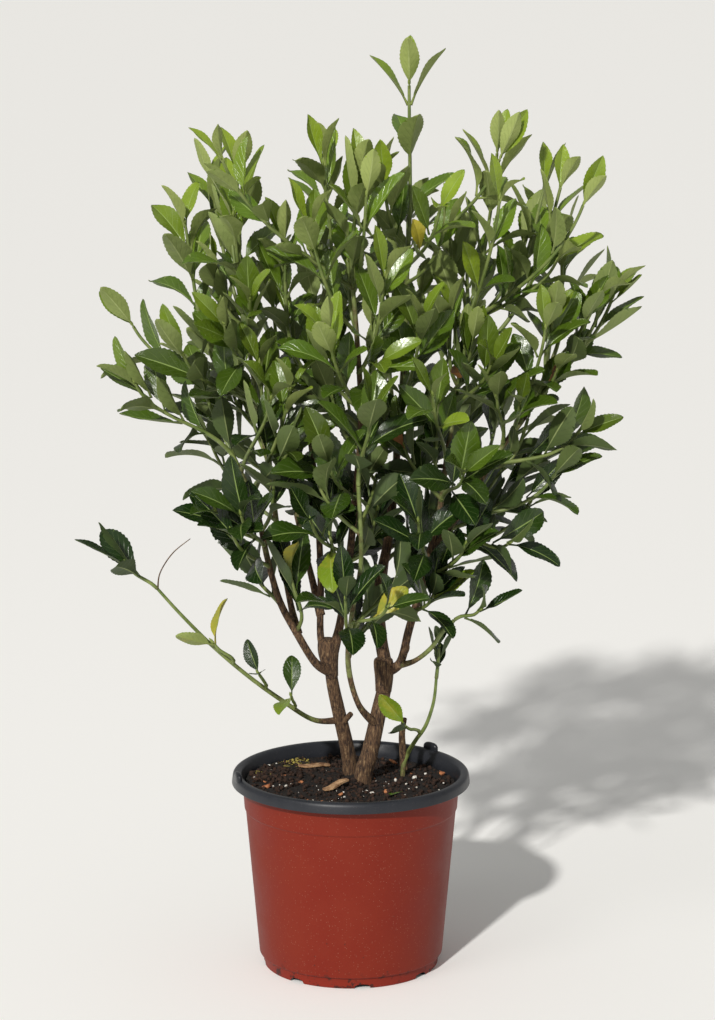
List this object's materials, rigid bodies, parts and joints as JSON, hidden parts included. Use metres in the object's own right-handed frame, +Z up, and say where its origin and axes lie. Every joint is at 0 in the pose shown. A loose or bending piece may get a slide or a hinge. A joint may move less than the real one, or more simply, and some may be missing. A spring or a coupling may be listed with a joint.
{
  "type": "potted japanese euonymus",
  "caption": "Evergreen euonymus shrub with woody forked stems and opposite, finely toothed leaves, in a round terracotta-coloured plastic pot.",
  "frame": {"origin": "middle of the pot's underside, on its flat centre pad", "axes": "+Z up, -Y towards the plant's front, +X to the right seen from the front"},
  "size_m": [0.439, 0.2816, 0.738],
  "materials": {
    "pot_plastic": "terracotta-coloured thermoformed plastic, satin, black inside and on the lip",
    "soil": "damp peat and bark compost, matt",
    "bark_chip": "dry bark flake, matt",
    "bark": "rough grey-brown bark",
    "leaf": "waxy green, glossy above and matt below"
  },
  "bodies": {
    "root": {"bark_chip_back": "bark_chip", "bark_chip_front": "bark_chip", "pot": "pot_plastic", "shoot_arch_end": "leaf", "shoot_arch_low": "leaf", "shoot_arch_mid": "leaf", "shoot_arch_root": "leaf", "shoot_back_left_low": "leaf", "shoot_back_left_mid": "leaf", "shoot_back_left_top": "leaf", "shoot_back_mid_low": "leaf", "shoot_back_right_low": "leaf", "shoot_back_right_mid": "leaf", "shoot_back_right_top": "leaf", "shoot_centre_glossy": "leaf", "shoot_centre_long": "leaf", "shoot_centre_low": "leaf", "shoot_centre_mid": "leaf", "shoot_centre_star": "leaf", "shoot_crown_back": "leaf", "shoot_crown_front": "leaf", "shoot_crown_left": "leaf", "shoot_crown_mid": "leaf", "shoot_crown_right": "leaf", "shoot_front_low": "leaf", "shoot_left_back": "leaf", "shoot_left_bright": "leaf", "shoot_left_cluster": "leaf", "shoot_left_far": "leaf", "shoot_left_inner": "leaf", "shoot_left_low": "leaf", "shoot_left_mid": "leaf", "shoot_left_outer": "leaf", "shoot_left_tall": "leaf", "shoot_lime": "leaf", "shoot_low_mid": "leaf", "shoot_low_right": "leaf", "shoot_right_branch": "leaf", "shoot_right_dark": "leaf", "shoot_right_diagonal": "leaf", "shoot_right_far": "leaf", "shoot_right_inner": "leaf", "shoot_right_low": "leaf", "shoot_right_mid": "leaf", "shoot_right_round": "leaf", "shoot_right_side": "leaf", "shoot_right_tall": "leaf", "shoot_right_upper": "leaf", "shoot_rosette": "leaf", "shoot_side_low": "leaf", "shoot_side_top": "leaf", "shoot_top": "leaf", "shoot_top_right": "leaf", "side_stem": "bark", "soil": "soil", "trunk_left": "bark", "trunk_right": "bark"}
  },
  "joints": []
}
